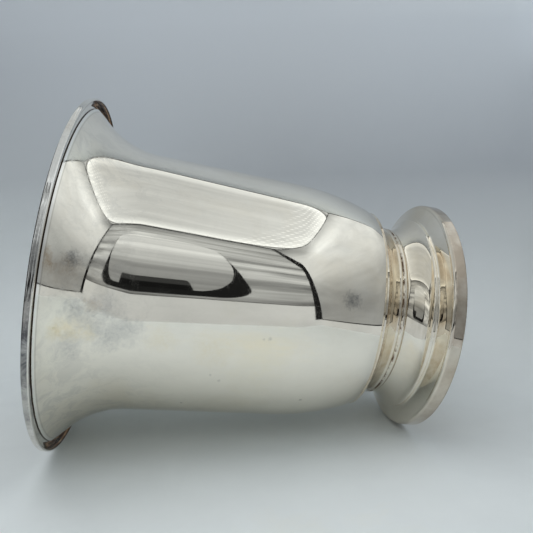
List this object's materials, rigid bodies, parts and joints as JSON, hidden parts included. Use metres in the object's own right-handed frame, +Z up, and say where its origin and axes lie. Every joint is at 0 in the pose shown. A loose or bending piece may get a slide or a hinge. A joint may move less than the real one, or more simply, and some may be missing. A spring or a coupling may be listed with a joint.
{
  "type": "champagne bucket",
  "caption": "Footed bell-shaped champagne bucket of spun silver plate, with a flared mouth, a rim moulding that turns down in two beads, a beaded neck ring and a stepped round foot.",
  "frame": {"origin": "middle of the circle on which the foot rests, on the bucket's axis", "axes": "+Z runs up the bucket's axis from the foot to the mouth; the bucket is round, so +X and +Y are free"},
  "size_m": [0.2274, 0.2274, 0.2365],
  "materials": {
    "body_silver": "bright polished silver plate with fine wipe marks and a faint warm tarnish",
    "rim_silver": "bright silver plate, worn dark on the outer bead, with brown tarnish in the channel under it",
    "foot_silver": "bright silver plate with yellowish tarnish in the mouldings",
    "bare_brass": "dull unplated brass",
    "plain_steel": "plain turned steel, slightly dulled"
  },
  "bodies": {
    "root": {"bowl": "body_silver", "rim_moulding": "rim_silver", "foot_collar": "foot_silver", "neck_ring": "foot_silver", "foot_shell": "foot_silver", "foot_rim": "foot_silver", "foot_web": "bare_brass", "stud_boss": "bare_brass", "foot_stud": "plain_steel", "clamp_plate": "bare_brass", "plain_washer": "plain_steel", "foot_nut": "plain_steel"}
  },
  "joints": []
}
